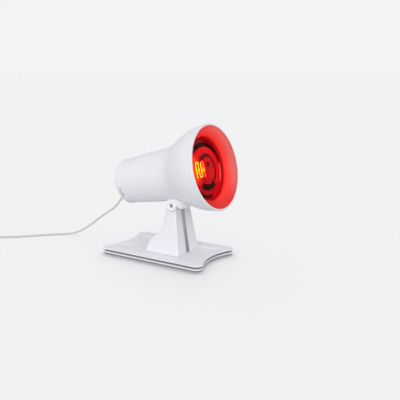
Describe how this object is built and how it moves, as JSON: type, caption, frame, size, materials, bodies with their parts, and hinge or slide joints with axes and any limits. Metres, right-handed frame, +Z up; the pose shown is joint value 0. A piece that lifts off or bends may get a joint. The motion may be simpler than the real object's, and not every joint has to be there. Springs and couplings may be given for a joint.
{
  "type": "infrared heat therapy lamp",
  "caption": "White infrared heat lamp: deep round tilting head with a red reflector bulb on a tapered post over a long flat base, with a rear rocker switch and a mains lead.",
  "frame": {"origin": "on the floor under the middle of the lamp's own box, without the free lead", "axes": "+Z up, -Y towards the front, where the lamp shines, +X to its left side seen from the front"},
  "size_m": [0.2627, 0.6469, 0.2676],
  "materials": {
    "white_plastic": "satin",
    "grey_plastic": "satin",
    "dark_plastic": "satin",
    "lit_reflector_ring": "satin",
    "red_glass": "gloss",
    "clear_glass": "gloss",
    "red_mirror": "gloss",
    "aluminium": "satin",
    "zinc_steel": "satin",
    "cast_alloy": "matte",
    "cap_brass": "satin",
    "ceramic": "satin",
    "fibre_washer": "matte",
    "tungsten": "satin",
    "foot_rubber": "matte",
    "cord_sheath": "satin"
  },
  "bodies": {
    "base": {"ballast_plate": "zinc_steel", "base_bottom_plate": "white_plastic", "base_cover": "white_plastic", "base_screw_1": "zinc_steel", "base_screw_2": "zinc_steel", "base_screw_3": "zinc_steel", "base_screw_4": "zinc_steel", "bracket_screw_1": "zinc_steel", "bracket_screw_2": "zinc_steel", "cord_coil": "cord_sheath", "cord_lead": "cord_sheath", "cord_tail": "cord_sheath", "hinge_bracket": "cast_alloy", "plug_body": "cord_sheath", "plug_pin_1": "zinc_steel", "plug_pin_2": "zinc_steel", "post_channel_strip": "grey_plastic", "post_left_shell": "white_plastic", "post_right_shell": "white_plastic", "post_screw_1": "zinc_steel", "post_screw_2": "zinc_steel", "rubber_foot_1": "foot_rubber", "rubber_foot_2": "foot_rubber", "rubber_foot_3": "foot_rubber", "rubber_foot_4": "foot_rubber"},
    "head": {"tilt_saddle": "white_plastic", "pivot_bolt": "zinc_steel", "pivot_nut": "zinc_steel", "friction_washer_1": "fibre_washer", "friction_washer_2": "fibre_washer", "saddle_screw_1": "zinc_steel", "saddle_screw_2": "zinc_steel", "head_housing": "white_plastic", "rim_bezel": "white_plastic", "reflector_ring": "lit_reflector_ring", "heat_shield": "aluminium", "rear_cap": "white_plastic", "rear_cap_screw_1": "zinc_steel", "rear_cap_screw_2": "zinc_steel", "rear_cap_screw_3": "zinc_steel", "bulb_lens": "red_glass", "bulb_reflector": "red_mirror", "bulb_screw_cap": "cap_brass", "bulb_stem": "clear_glass", "filament": "tungsten", "lead_wire_1": "zinc_steel", "lead_wire_2": "zinc_steel", "lamp_holder": "ceramic", "holder_bracket": "zinc_steel", "holder_screw_1": "zinc_steel", "holder_screw_2": "zinc_steel", "switch_frame": "dark_plastic", "strain_relief": "white_plastic"},
    "rocker": {"switch_rocker": "dark_plastic"}
  },
  "joints": [
    {"name": "head_tilt", "type": "hinge", "parent": "base", "child": "head", "pos_m": [0, -0.01994, 0.1065], "axis": [1, 0, 0], "range_deg": [-20, 30], "deforming": ["cord_lead"]},
    {"name": "switch_rock", "type": "hinge", "parent": "head", "child": "rocker", "pos_m": [0, 0.10573, 0.14851], "axis": [1, 0, 0], "range_deg": [0, 14]}
  ]
}
